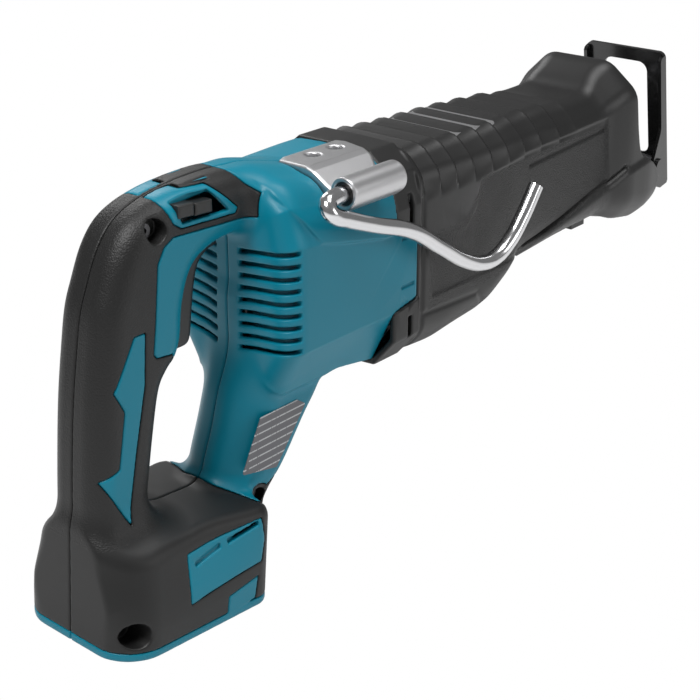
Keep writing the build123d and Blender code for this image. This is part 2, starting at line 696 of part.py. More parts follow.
def gear_cover():
    """Plate that closes the gear housing and holds the front motor bearing."""
    plate = chamber_solid(1, (GEAR_BOX_X[0] - 5, GEAR_BOX_X[0]))
    plate = plate + rod("X", (GEAR_BOX_X[0] - 5, FRONT_BEARING_X[1] + 1), BEARING_R + 2.5, 0, MOTOR_Z)
    plate = plate - rod("X", (180, FRONT_BEARING_X[1]), BEARING_R, 0, MOTOR_Z)
    plate = plate - rod("X", (180, 210), SHAFT_R + 1, 0, MOTOR_Z)
    return plate - [rod("X", (180, 200), 1.6, y, z) for y, z in cover_screw_sites()]


def gear_cover_screws():
    """Screws of the gear cover."""
    screws = []
    for y, z in cover_screw_sites():
        head = rod("X", (GEAR_BOX_X[0] - 7.5, GEAR_BOX_X[0] - 5), 3.0, y, z)
        screws.append((head + rod("X", (GEAR_BOX_X[0] - 5, GEAR_BOX_X[0] + 10), 1.6, y, z)).solid())
    return Compound(children=screws)


def boot_collar():
    """Band of the boot let into the front of the housing, open where the housing shows on each side."""
    band = body_solid(0, COLLAR_X) - body_solid(WALL, COLLAR_X + 1)
    band = band & block((COLLAR_REAR_X, COLLAR_X), (-60, 60), (-100, 60))
    band = band - chamber_solid(-GAP / 3, (GEAR_BOX_X[0] - 6, COLLAR_X + 1))
    return band - block((COLLAR_REAR_X - 1, COLLAR_X + 1), (-60, 60), TONGUE_Z) - bracket_seat()


def front_boot():
    """Rubber boot over the gear housing, with its finger guard and open nose."""
    rear = fillet(extrude(section_x(COLLAR_X, 38.5, -73, 38, 16), amount=88).faces().sort_by(Axis.X)[-1].edges(), 10)
    snout = loft([section_x(270, 37, -56, 37, 14), section_x(330, 34, -50, 33, 14)])
    snout = snout + loft([section_x(330, 34, -50, 33, 14), section_x(384, 33, -49, 31, 14)])
    guard = loft([section_x(384, 33, -49, 31, 14), section_x(400, 36, -57, 44, 16)])
    nose = loft([section_x(400, 36, -57, 44, 16), section_x(460, 30, -57, 30, 14)])
    front = side_face(
        [(402, 60), (404, 44), (411, 22), (416, 1), (421, -13), (436, -22), (446, -30), (447, -38), (441, -48),
         (430, -54), (424, -62), (424, -90), (520, -90), (520, 60)],
        [1, 4, 8, 8, 8, 6, 2, 3, 5, 4, 3, 1, 1, 1],
    )
    boot = rear + snout + guard + nose - slab(front, 80)
    boot = boot - chamber_solid(0, (COLLAR_X - 1, GEAR_BOX_X[1])) - snout_solid()
    mouth = loft([section_x(SNOUT_X[1] - 0.5, 26, -42, 24, 12), section_x(470, 28, -52, 32, 12)])
    return boot - mouth + boot_collar()


# ------------------------------------------------------------------ shoe
def shoe_frame(shape):
    """Puts a shape modelled upright round the shoe pivot at the shoe's rest lean."""
    return Pos(SHOE_PIVOT[0], 0, SHOE_PIVOT[1]) * Rot(0, -SHOE_TILT, 0) * shape


def shoe_plate():
    """Folded steel shoe: a front plate with a tall window, edge flanges and two ears."""
    front_x = 11.0
    rear_x = front_x - SHOE_T
    plane = Plane((rear_x, 0, 26.5), x_dir=(0, 1, 0), z_dir=(1, 0, 0))
    plate = extrude(plane * RectangleRounded(2 * SHOE_HALF_W, 89, 4), amount=SHOE_T)
    window = extrude(Plane((rear_x - 1, 0, 32.5), x_dir=(0, 1, 0), z_dir=(1, 0, 0)) * RectangleRounded(30, 61, 6), amount=6)
    ear = side_face([(front_x - 0.5, -16), (front_x - 0.5, 69), (5, 68), (4.5, 22), (-5, 6), (-5, -7), (1, -16)],
                    [1, 1, 3, 12, 4, 4, 3])
    ears = [extrude(Pos(0, y, 0) * ear, amount=SHOE_T) for y in (-SHOE_HALF_W + SHOE_T, SHOE_HALF_W)]
    shoe = plate - window + ears
    return shoe_frame(shoe - rod("Y", (-30, 30), SHOE_PIN_R, 0, 0))


def shoe_pin():
    """Pivot pin with a domed head at each end."""
    pin = rod("Y", (-SHOE_HALF_W - 0.6, SHOE_HALF_W + 0.6), SHOE_PIN_R, 0, 0)
    heads = [rod("Y", (y - 0.8, y + 0.8), 4.6, 0, 0) for y in (-SHOE_HALF_W - 0.8, SHOE_HALF_W + 0.8)]
    return shoe_frame(pin + heads)


def shoe_bar():
    """Flat bar that carries the shoe and slides in the snout."""
    bar = block(BAR_X, (-BAR_HALF_W, BAR_HALF_W), (BAR_Z - BAR_HALF_T, BAR_Z + BAR_HALF_T))
    eye = rod("Y", (-SHOE_HALF_W + SHOE_T + GAP, SHOE_HALF_W - SHOE_T - GAP), 5.5, *SHOE_PIVOT)
    notches = [block((BAR_X[0] + 12 + 10 * i, BAR_X[0] + 15 + 10 * i), (-4, 4), (BAR_Z - 4, BAR_Z - 1)) for i in range(4)]
    return bar + eye - notches - rod("Y", (-30, 30), SHOE_PIN_R + RUN, *SHOE_PIVOT)


def shoe_lock_button():
    """Push button under the nose that frees the shoe bar."""
    cap = block((392, 406), (-7, 7), (-60, -52))
    return cap + rod("Z", (-53, -41), 3.0, 399, 0)


def lock_button_hole():
    """Hole through the boot and the gear housing for the shoe lock button."""
    well = block((392 - GAP, 406 + GAP), (-7 - GAP, 7 + GAP), (-70, -48))
    return [well, rod("Z", (-50, -36), 3.0 + 0.1, 399, 0)]


# ------------------------------------------------------------------ build
def main():
    """Builds and writes every node."""
    os.makedirs("parts", exist_ok=True)
    core = core_solid()
    shell = housing(core) + (bearing_carrier() & body_solid(1, COLLAR_X))
    export("housing_right", right_half(shell))
    export("housing_left", left_half(shell))
    skin = overmould(core)
    export("grip_right", right_half(skin))
    export("grip_left", left_half(skin))
    pads = strut_pads()
    export("strut_pad_right", right_half(pads))
    export("strut_pad_left", left_half(pads))
    parts = {
        "housing_screws": housing_screws(),
        "rating_label": rating_label(),
        "hook_bracket": hook_bracket(),
        "bracket_screws": bracket_screws(),
        "hook_wire": hook_wire(),
        "hook_bush": hook_bush(),
        "hook_cap": hook_cap(),
        "trigger": trigger(),
        "trigger_pin": trigger_pin(),
        "trigger_spring": trigger_spring(),
        "switch_unit": switch_unit(),
        "lock_off_button": lock_off_button(),
        "terminal_block": terminal_block(),
        "terminal_blades": terminal_blades(),
        "controller_tray": controller_tray(),
        "controller_board": controller_board(),
        "motor_stator": motor_stator(),
        "motor_windings": motor_windings(),
        "rotor_core": rotor_core(),
        "motor_shaft": motor_shaft(),
        "cooling_fan": cooling_fan(),
        "motor_rear_bearing": motor_bearing(REAR_BEARING_X),
        "motor_front_bearing": motor_bearing(FRONT_BEARING_X),
        "bevel_pinion": bevel_pinion(),
        "crank_gear": crank_gear(),
        "crank_shaft": crank_shaft(),
        "crank_pin": crank_pin(),
        "crank_roller": crank_roller(),
        "counterweight": counterweight(),
        "crank_upper_bearing": crank_bearing(SHELF_Z),
        "crank_lower_bearing": crank_bearing((CRANK_FLOOR_Z, CRANK_FLOOR_Z + 10)),
        "spindle": spindle(),
        "spindle_yoke": spindle_yoke(),
        "spindle_rear_bush": spindle_bush((292, 308)),
        "spindle_front_bush": spindle_bush((384, 400)),
        "spindle_seal": spindle_bush((401, SNOUT_X[1])),
        "blade_clamp": blade_clamp(),
        "clamp_sleeve": clamp_sleeve(),
        "clamp_spring": clamp_spring(),
        "gear_housing": gear_housing() - lock_button_hole(),
        "gear_cover": gear_cover(),
        "gear_cover_screws": gear_cover_screws(),
        "front_boot": front_boot() - lock_button_hole(),
        "shoe_plate": shoe_plate(),
        "shoe_pin": shoe_pin(),
        "shoe_bar": shoe_bar(),
        "shoe_lock_button": shoe_lock_button(),
    }
    for node, shape in parts.items():
        export(node, shape)


if __name__ == "__main__":
    main()
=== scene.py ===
"""Visual model of a cordless reciprocating saw, built on its CAD frame.

Moulded shapes are signed distance fields, laid out in millimetres in the tool
frame (X from the rear of the battery foot, Z up from the spindle axis), and
turned into meshes in the row frame (metres, origin at the blade clamp mouth).
"""

import json
import logging
import math
from dataclasses import dataclass, field
from enum import Enum
from typing import Iterable, Optional, Sequence

import bpy
import numpy as np
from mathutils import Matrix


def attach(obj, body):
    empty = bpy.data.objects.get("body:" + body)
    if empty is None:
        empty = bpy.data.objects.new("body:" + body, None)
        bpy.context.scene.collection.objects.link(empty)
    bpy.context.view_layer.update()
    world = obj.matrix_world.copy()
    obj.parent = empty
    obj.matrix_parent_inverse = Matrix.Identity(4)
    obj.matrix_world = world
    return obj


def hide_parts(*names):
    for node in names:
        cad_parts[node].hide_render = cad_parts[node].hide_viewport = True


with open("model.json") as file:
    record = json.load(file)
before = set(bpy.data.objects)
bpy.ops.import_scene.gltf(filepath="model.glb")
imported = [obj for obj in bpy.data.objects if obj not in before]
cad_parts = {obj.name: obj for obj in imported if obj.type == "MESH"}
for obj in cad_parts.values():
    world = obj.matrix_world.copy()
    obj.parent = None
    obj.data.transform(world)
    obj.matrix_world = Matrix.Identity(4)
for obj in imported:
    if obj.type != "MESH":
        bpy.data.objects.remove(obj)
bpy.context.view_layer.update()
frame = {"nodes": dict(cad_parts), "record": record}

import openvdb
from mathutils import Vector

log = logging.getLogger("saw")

Array = np.ndarray
Point = tuple[float, float]

MOUTH_X = 440.0
MOTOR_Z = -28.0
MM = 0.001
FOOT_TILT = math.radians(5.0)
FOOT_LOW_Z = -150.0
FACE_LIMIT = 130000


# ------------------------------------------------------------------ fields
class Corner(Enum):
    """How an outline passes its points."""

    SHARP = "sharp"
    THROUGH = "through"
    CUT = "cut"


def smin(a: Array, b: Array, k: float) -> Array:
    """Smooth union of two fields over a blend width k."""
    h = np.maximum(k - np.abs(a - b), 0.0) / k
    return np.minimum(a, b) - h * h * k * 0.25


def smax(a: Array, b: Array, k: float) -> Array:
    """Smooth intersection of two fields over a blend width k."""
    h = np.maximum(k - np.abs(a - b), 0.0) / k
    return np.maximum(a, b) + h * h * k * 0.25


def step_up(v: Array, low: float, high: float) -> Array:
    """Smooth rise from 0 at low to 1 at high."""
    t = np.clip((v - low) / (high - low), 0.0, 1.0)
    return t * t * (3.0 - 2.0 * t)


def prism(flat: Array, side: Array, r: float) -> Array:
    """Solid where both fields are negative, with edges rounded by r."""
    a, b = np.maximum(flat + r, 0.0), np.maximum(side + r, 0.0)
    return np.sqrt(a * a + b * b) + np.minimum(np.maximum(flat, side) + r, 0.0) - r


class Outline:
    """Closed line in a plane.

    Args:
        points: Corners in order.
        corner: How the line passes them.
    """

    def __init__(self, points: Sequence[Point], corner: Corner = Corner.THROUGH) -> None:
        self.points = np.array(points, float)
        if corner is Corner.THROUGH:
            self.points = self._through(6)
        elif corner is Corner.CUT:
            for _ in range(3):
                ahead = np.roll(self.points, -1, axis=0)
                pair = (0.75 * self.points + 0.25 * ahead, 0.25 * self.points + 0.75 * ahead)
                self.points = np.stack(pair, axis=1).reshape(-1, 2)

    def _through(self, steps: int) -> Array:
        """Catmull-Rom points, steps to each side."""
        p1 = self.points
        p0, p2, p3 = np.roll(p1, 1, 0), np.roll(p1, -1, 0), np.roll(p1, -2, 0)
        t = (np.arange(steps) / steps)[None, :, None]
        p0, p1, p2, p3 = (p[:, None, :] for p in (p0, p1, p2, p3))
        out = 2 * p1 + (p2 - p0) * t + (2 * p0 - 5 * p1 + 4 * p2 - p3) * t**2
        out = 0.5 * (out + (3 * p1 - p0 - 3 * p2 + p3) * t**3)
        return out.reshape(-1, 2)

    def distance(self, u: Array, v: Array) -> Array:
        """Signed distance from the line, negative inside, over arrays that broadcast."""
        shape = np.broadcast_shapes(u.shape, v.shape)
        best = np.full(shape, 1e9, np.float32)
        inside = np.zeros(shape, bool)
        for (ax, ay), (bx, by) in zip(self.points, np.roll(self.points, -1, 0)):
            ex, ey = bx - ax, by - ay
            along = np.clip(((u - ax) * ex + (v - ay) * ey) / (ex * ex + ey * ey + 1e-12), 0, 1)
            du, dv = u - ax - along * ex, v - ay - along * ey
            best = np.minimum(best, du * du + dv * dv)
            if ay != by:
                inside ^= ((ay > v) != (by > v)) & (u < (v - ay) * (ex / ey) + ax)
        root = np.sqrt(best)
        return np.where(inside, -root, root).astype(np.float32)


class Polyline:
    """Open line in a plane."""

    def __init__(self, points: Sequence[Point]) -> None:
        self.points = np.array(points, float)

    def distance(self, u: Array, v: Array) -> Array:
        """Distance from the line over arrays that broadcast."""
        best = np.full(np.broadcast_shapes(u.shape, v.shape), 1e9, np.float32)
        for (ax, ay), (bx, by) in zip(self.points[:-1], self.points[1:]):
            ex, ey = bx - ax, by - ay
            along = np.clip(((u - ax) * ex + (v - ay) * ey) / (ex * ex + ey * ey), 0, 1)
            du, dv = u - ax - along * ex, v - ay - along * ey
            best = np.minimum(best, du * du + dv * dv)
        return np.sqrt(best)


class Profile:
    """A size that changes smoothly along X."""

    def __init__(self, knots: Sequence[Point], blur: float = 6.0) -> None:
        self.knots = np.array(knots, float)
        self.blur = blur

    def at(self, x: Array) -> Array:
        """The size at each x, with its corners smoothed."""
        total = sum(np.interp(x + d * self.blur, *self.knots.T) for d in np.linspace(-1, 1, 9))
        return (total / 9).astype(np.float32)


@dataclass
class Lattice:
    """Grid of points in the tool frame that fields are sampled on.

    Args:
        low: Lowest corner in millimetres.
        high: Highest corner in millimetres.
        step: Spacing in millimetres.
    """

    low: tuple[float, float, float]
    high: tuple[float, float, float]
    step: float

    def __post_init__(self) -> None:
        axes = [np.arange(a, b + self.step, self.step, dtype=np.float32)
                for a, b in zip(self.low, self.high)]
        self.x = axes[0][:, None, None]
        self.y = axes[1][None, :, None]
        self.z = axes[2][None, None, :]
        self.shape = tuple(len(a) for a in axes)

    def sample(self, values: Array, points: Array) -> Array:
        """The field at scattered points."""
        g = (points - np.array(self.low)) / self.step
        top = np.array(self.shape) - 2
        base = np.clip(np.floor(g).astype(int), 0, top)
        f = g - base
        total = np.zeros(len(points))
        for corner in range(8):
            bits = [(corner >> n) & 1 for n in range(3)]
            weight = np.prod([f[:, n] if b else 1 - f[:, n] for n, b in enumerate(bits)], axis=0)
            i, j, k = (base[:, n] + bits[n] for n in range(3))
            total += weight * values[i, j, k]
        return total

    def slope(self, values: Array, points: Array) -> Array:
        """Unit gradient of the field at scattered points."""
        out = np.zeros((len(points), 3))
        for n in range(3):
            shift = np.zeros(3)
            shift[n] = 0.8 * self.step
            out[:, n] = self.sample(values, points + shift) - self.sample(values, points - shift)
        return out / np.maximum(np.linalg.norm(out, axis=1), 1e-9)[:, None]

    def skin(self, values: Array, name: str, mirror: bool = False,
             limit: int = FACE_LIMIT) -> bpy.types.Object:
        """Mesh of the surface where the field is zero.

        Args:
            values: Field over the lattice, negative inside.
            name: Name of the new piece.
            mirror: Whether to reflect the piece across the middle plane.
            limit: Most triangles that the mesh may have.

        Returns:
            The new object, in the row frame.
        """
        grid = openvdb.FloatGrid(5.0)
        full = np.array(np.broadcast_to(values, self.shape), dtype=np.float32, order="C")
        grid.copyFromArray(full)
        grid.transform = openvdb.createLinearTransform(voxelSize=self.step)
        points, tris, quads = grid.convertToPolygons(isovalue=0.0, adaptivity=0.0)
        points = points + np.array(self.low)
        faces = [tuple(map(int, q)) for q in quads] + [tuple(map(int, t)) for t in tris]
        mesh = bpy.data.meshes.new(name)
        mesh.from_pydata(points.tolist(), [], faces)
        obj = bpy.data.objects.new(name, mesh)
        bpy.context.scene.collection.objects.link(obj)
        count = 2 * len(quads) + len(tris)
        if count > limit:
            mod = obj.modifiers.new("fewer", "DECIMATE")
            mod.ratio = limit / count
            graph = bpy.context.evaluated_depsgraph_get()
            mesh = bpy.data.meshes.new_from_object(obj.evaluated_get(graph))
            obj.modifiers.clear()
            obj.data = mesh
            mesh.name = name
        at = np.zeros(len(mesh.vertices) * 3)
        mesh.vertices.foreach_get("co", at)
        at = at.reshape(-1, 3)
        normal = self.slope(full, at)
        at = at - normal * np.clip(self.sample(full, at), -0.4, 0.4)[:, None]
        normal = self.slope(full, at)
        face = mesh.polygons[0]
        outward = Vector(normal[face.vertices[0]])
        flip = face.normal.dot(outward) < 0
        if mirror:
            at[:, 1] *= -1
            normal[:, 1] *= -1
            flip = not flip
        at = (at - np.array([MOUTH_X, 0, 0])) * MM
        mesh.vertices.foreach_set("co", at.reshape(-1))
        if flip:
            mesh.flip_normals()
        mesh.polygons.foreach_set("use_smooth", [True] * len(mesh.polygons))
        mesh.update()
        mesh.normals_split_custom_set_from_vertices(normal.tolist())
        log.info("%s: %d faces from %d", name, len(mesh.polygons), count)
        return obj


# --------------------------------------------------------------- materials
class Effect(Enum):
    """Surface effects kept as node groups."""

    PEBBLE = "pebble_grain"
    FINE = "fine_grain"
    PANEL = "boot_panel"
    BRUSH = "turned_marks"
    PRINT = "label_print"


@dataclass(frozen=True)
class Finish:
    """How one kind of surface looks.

    Args:
        name: Material name.
        colour: Linear base colour.
        roughness: Surface roughness.
        metallic: 1 for metals.
        effect: Node group that gives its normals and mask, if any.
        strength: Strength of that effect.
        scale: Size of that effect, in cells per metre.
        coat: Clear coat weight.
        specular: Specular level.
    """

    name: str
    colour: tuple[float, float, float]
    roughness: float
    metallic: float = 0.0
    effect: Optional[Effect] = None
    strength: float = 0.0
    scale: float = 0.0
    coat: float = 0.0
    specular: float = 0.5


class NodeKit:
    """Short hands for building node trees."""

    def __init__(self, tree: bpy.types.NodeTree) -> None:
        self.tree = tree

    def add(self, kind: str, **values: object) -> bpy.types.Node:
        """Adds a node and sets its properties."""
        node = self.tree.nodes.new(kind)
        for key, value in values.items():
            setattr(node, key, value)
        return node

    def link(self, out: bpy.types.NodeSocket, into: bpy.types.NodeSocket) -> None:
        """Joins two sockets."""
        self.tree.links.new(out, into)

    def maths(self, operation: str, a: object, b: object = 0.0) -> bpy.types.NodeSocket:
        """A maths node on two sockets or numbers."""
        node = self.add("ShaderNodeMath", operation=operation)
        for socket, value in zip(node.inputs, (a, b)):
            if isinstance(value, bpy.types.NodeSocket):
                self.link(value, socket)
            else:
                socket.default_value = value
        return node.outputs[0]


class EffectGroups:
    """The shader node groups that finishes share."""

    def __init__(self) -> None:
        self.trees: dict[Effect, bpy.types.NodeTree] = {}

    def get(self, effect: Effect) -> bpy.types.NodeTree:
        """The group for an effect, made on first use."""
        if effect not in self.trees:
            self.trees[effect] = getattr(self, f"_{effect.value}")()
        return self.trees[effect]

    @staticmethod
    def _blank(effect: Effect) -> tuple[NodeKit, bpy.types.Node, bpy.types.Node]:
        """A group with scale and strength going in, normal and mask coming out."""
        tree = bpy.data.node_groups.new(effect.value, "ShaderNodeTree")
        for name in ("Scale", "Strength"):
            tree.interface.new_socket(name, in_out="INPUT", socket_type="NodeSocketFloat")
        tree.interface.new_socket("Normal", in_out="OUTPUT", socket_type="NodeSocketVector")
        tree.interface.new_socket("Mask", in_out="OUTPUT", socket_type="NodeSocketFloat")
        kit = NodeKit(tree)
        return kit, kit.add("NodeGroupInput"), kit.add("NodeGroupOutput")

    @staticmethod
    def _bump(kit: NodeKit, height: bpy.types.NodeSocket, ends: tuple, depth: float,
              mask: bpy.types.NodeSocket) -> None:
        """Turns a height into the group's normal."""
        into, out = ends
        bump = kit.add("ShaderNodeBump")
        bump.inputs["Distance"].default_value = depth
        kit.link(into.outputs["Strength"], bump.inputs["Strength"])
        kit.link(height, bump.inputs["Height"])
        kit.link(bump.outputs[0], out.inputs["Normal"])
        kit.link(mask, out.inputs["Mask"])

    @staticmethod
    def _grain(kit: NodeKit, into: bpy.types.Node, detail: float) -> bpy.types.NodeSocket:
        """Noise in object space at the group's scale."""
        place = kit.add("ShaderNodeTexCoord")
        noise = kit.add("ShaderNodeTexNoise")
        noise.inputs["Detail"].default_value = detail
        kit.link(place.outputs["Object"], noise.inputs["Vector"])
        kit.link(into.outputs["Scale"], noise.inputs["Scale"])
        return noise.outputs["Fac"]

    def _pebble_grain(self) -> bpy.types.NodeTree:
        """Rounded cells of a pebbled over-mould."""
        kit, into, out = self._blank(Effect.PEBBLE)
        place = kit.add("ShaderNodeTexCoord")
        cells = kit.add("ShaderNodeTexVoronoi", feature="SMOOTH_F1")
        kit.link(place.outputs["Object"], cells.inputs["Vector"])
        kit.link(into.outputs["Scale"], cells.inputs["Scale"])
        split = kit.add("ShaderNodeSeparateXYZ")
        kit.link(place.outputs["Object"], split.inputs[0])
        high = kit.maths("SUBTRACT", 1.0, cells.outputs["Distance"])
        high = kit.maths("MULTIPLY", high, kit.maths("GREATER_THAN", split.outputs["Z"], -0.1))
        self._bump(kit, high, (into, out), 0.0004, high)
        return kit.tree

    def _fine_grain(self) -> bpy.types.NodeTree:
        """Faint spark-eroded grain."""
        kit, into, out = self._blank(Effect.FINE)
        grain = self._grain(kit, into, 2.0)
        self._bump(kit, grain, (into, out), 0.0002, grain)
        return kit.tree

    def _boot_panel(self) -> bpy.types.NodeTree:
        """Grain that only shows on the side panels of the boot."""
        kit, into, out = self._blank(Effect.PANEL)
        place = kit.add("ShaderNodeTexCoord")
        split = kit.add("ShaderNodeSeparateXYZ")
        kit.link(place.outputs["Object"], split.inputs[0])
        x, z = split.outputs["X"], split.outputs["Z"]
        rise = kit.add("ShaderNodeMapRange", clamp=True)
        kit.link(x, rise.inputs["Value"])
        for key, value in (("From Min", -0.200), ("From Max", -0.185), ("To Min", -0.006),
                           ("To Max", 0.0125)):
            rise.inputs[key].default_value = value
        top = kit.maths("LESS_THAN", z, rise.outputs[0])
        low = kit.maths("GREATER_THAN", z, -0.046)
        rear = kit.maths("GREATER_THAN", x, -0.231)
        fore = kit.maths("LESS_THAN", x, -0.056)
        mask = kit.maths("MULTIPLY", kit.maths("MULTIPLY", top, low), kit.maths("MULTIPLY", rear, fore))
        height = kit.maths("MULTIPLY", self._grain(kit, into, 1.0), mask)
        self._bump(kit, height, (into, out), 0.0007, mask)
        return kit.tree

    def _turned_marks(self) -> bpy.types.NodeTree:
        """Fine scratches for wire and machined metal."""
        kit, into, out = self._blank(Effect.BRUSH)
        grain = self._grain(kit, into, 4.0)
        self._bump(kit, grain, (into, out), 0.00005, grain)
        return kit.tree

    def _label_print(self) -> bpy.types.NodeTree:
        """Plain bars standing for the lines of a nameplate."""
        kit, into, out = self._blank(Effect.PRINT)
        place = kit.add("ShaderNodeTexCoord")
        split = kit.add("ShaderNodeSeparateXYZ")
        kit.link(place.outputs["Object"], split.inputs[0])
        x, z = split.outputs["X"], split.outputs["Z"]
        rows = kit.maths("FRACT", kit.maths("MULTIPLY", z, into.outputs["Scale"]))
        row = kit.maths("MULTIPLY", kit.maths("GREATER_THAN", rows, 0.42),
                        kit.maths("LESS_THAN", rows, 0.60))
        dash = kit.add("ShaderNodeTexNoise")
        dash.inputs["Scale"].default_value = 420.0
        kit.link(x, dash.inputs["Vector"])
        mask = kit.maths("MULTIPLY", row, kit.maths("GREATER_THAN", dash.outputs["Fac"], 0.42))
        kit.link(mask, out.inputs["Mask"])
        normal = kit.add("ShaderNodeNewGeometry")
        kit.link(normal.outputs["Normal"], out.inputs["Normal"])
        return kit.tree


@dataclass
class Paintbox:
    """Makes each finish's material once and puts it on pieces."""

    groups: EffectGroups = field(default_factory=EffectGroups)
    made: dict[str, bpy.types.Material] = field(default_factory=dict)

    def material(self, finish: Finish) -> bpy.types.Material:
        """The material for a finish."""
        if finish.name in self.made:
            return self.made[finish.name]
        mat = bpy.data.materials.new(finish.name)
        mat.use_nodes = True
        kit = NodeKit(mat.node_tree)
        shader = mat.node_tree.nodes["Principled BSDF"]
        values = {
            "Base Color": (*finish.colour, 1.0),
            "Roughness": finish.roughness,
            "Metallic": finish.metallic,
            "Coat Weight": finish.coat,
            "Coat Roughness": 0.12,
            "Specular IOR Level": finish.specular,
        }
        for key, value in values.items():
            shader.inputs[key].default_value = value
        if finish.effect is not None:
            group = kit.add("ShaderNodeGroup", node_tree=self.groups.get(finish.effect))
            group.inputs["Scale"].default_value = finish.scale
            group.inputs["Strength"].default_value = finish.strength
            kit.link(group.outputs["Normal"], shader.inputs["Normal"])
            if finish.effect is Effect.PRINT:
                mix = kit.add("ShaderNodeMix", data_type="RGBA")
                mix.inputs[6].default_value = (*finish.colour, 1.0)
                mix.inputs[7].default_value = (0.42, 0.43, 0.44, 1.0)
                kit.link(group.outputs["Mask"], mix.inputs[0])
                kit.link(mix.outputs[2], shader.inputs["Base Color"])
        self.made[finish.name] = mat
        return mat

    def paint(self, obj: bpy.types.Object, finish: Finish) -> None:
        """Puts a finish on a piece."""
        obj.data.materials.clear()
        obj.data.materials.append(self.material(finish))


TEAL = Finish("teal_plastic", (0.0, 0.165, 0.240), 0.38, effect=Effect.FINE, strength=0.2, scale=1800.0,
              specular=0.28)
GRIP = Finish("grip_rubber", (0.009, 0.009, 0.009), 0.48, effect=Effect.PEBBLE, strength=0.4, scale=1500.0,
              specular=0.38)
BOOT = Finish("boot_rubber", (0.009, 0.009, 0.009), 0.40, effect=Effect.PANEL, strength=0.9, scale=1500.0,
              specular=0.42)
BLACK = Finish("black_plastic", (0.012, 0.012, 0.012), 0.42, effect=Effect.FINE, strength=0.2, scale=1500.0)
CAST = Finish("cast_aluminium", (0.56, 0.56, 0.57), 0.38, 1.0, Effect.FINE, 0.25, 2500.0)
WIRE = Finish("bright_wire", (0.66, 0.66, 0.67), 0.17, 1.0, Effect.BRUSH, 0.3, 900.0)
GLOSS = Finish("shoe_black", (0.006, 0.006, 0.006), 0.22, coat=0.5)
LABEL = Finish("grey_label", (0.10, 0.10, 0.11), 0.45, effect=Effect.PRINT, scale=260.0)
STEEL = Finish("machined_steel", (0.55, 0.55, 0.57), 0.30, 1.0, Effect.BRUSH, 0.3, 700.0)
DARK_STEEL = Finish("dark_steel", (0.10, 0.10, 0.105), 0.38, 1.0)
IRON = Finish("lamination_steel", (0.28, 0.29, 0.31), 0.42, 1.0)
COPPER = Finish("copper_wire", (0.72, 0.30, 0.12), 0.35, 1.0)
BRONZE = Finish("sintered_bronze", (0.50, 0.36, 0.18), 0.45, 1.0)
BOARD = Finish("circuit_board", (0.01, 0.12, 0.05), 0.35)

SLOT_FINISH = {
    "teal_plastic": TEAL, "black_rubber": GRIP, "boot_rubber": BOOT, "black_plastic": BLACK,
    "grey_label": LABEL, "cast_aluminium": CAST, "dark_steel": DARK_STEEL, "bright_steel": WIRE,
    "machined_steel": STEEL, "lamination_steel": IRON, "copper_wire": COPPER, "shoe_black": GLOSS,
    "sintered_bronze": BRONZE, "circuit_board": BOARD,
}


def settle(obj: bpy.types.Object, body: str, slot: str, nodes: Iterable[str],
           box: Paintbox) -> bpy.types.Object:
    """Paints a new piece, puts it on its body and lets it stand for CAD nodes.

    Args:
        obj: The new piece.
        body: CAD body that it rides on.
        slot: Material slot of the record.
        nodes: CAD nodes that it replaces.
        box: Source of materials.

    Returns:
        The same piece.
    """
    box.paint(obj, SLOT_FINISH[slot])
    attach(obj, body)
    names = list(nodes)
    if names:
        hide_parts(*names)
    return obj


# ------------------------------------------------------------ handle housing
@dataclass
class Zones:
    """Side outlines that divide rubber from the housing, in X and Z."""

    rubber: Outline = field(default_factory=lambda: Outline([
        (-30, 80), (100, 80), (100, 47), (104, 41), (113, 33), (121, 27.4), (119, 25), (100, 26.4),
        (59.5, 28.5), (54, 25.5), (50, 19), (47, -7), (45, -20.5), (46.5, -22.8), (56, -24), (60, -29),
        (75, -36), (75, -80), (83, -103), (97, -111), (113, -106), (140, -112), (140, -157.5),
        (-30, -142.8),
    ], Corner.SHARP))
    arrow: Outline = field(default_factory=lambda: Outline([
        (34.6, -9), (41, -9), (39, -33), (32, -62), (25, -95), (12.5, -70), (22, -66.5), (27, -41),
        (22, -31),
    ], Corner.SHARP))
    bezel: Outline = field(default_factory=lambda: Outline([
        (57, 43.5), (60, 46), (84, 45), (98.2, 32), (96.5, 29.6), (64.5, 31), (60, 34),
    ], Corner.SHARP))
    window: Outline = field(default_factory=lambda: Outline([
        (61, 44), (83, 43), (93, 32), (65, 33),
    ], Corner.SHARP))
    side_panel: Outline = field(default_factory=lambda: Outline([
        (43.5, -112.5), (87, -111.5), (88.5, -123), (85.5, -134), (40.5, -135.5),
    ], Corner.SHARP))
    patch: Outline = field(default_factory=lambda: Outline([
        (63.5, -142.5), (83, -140.5), (80.5, -151.5), (62, -152.5),
    ], Corner.SHARP))


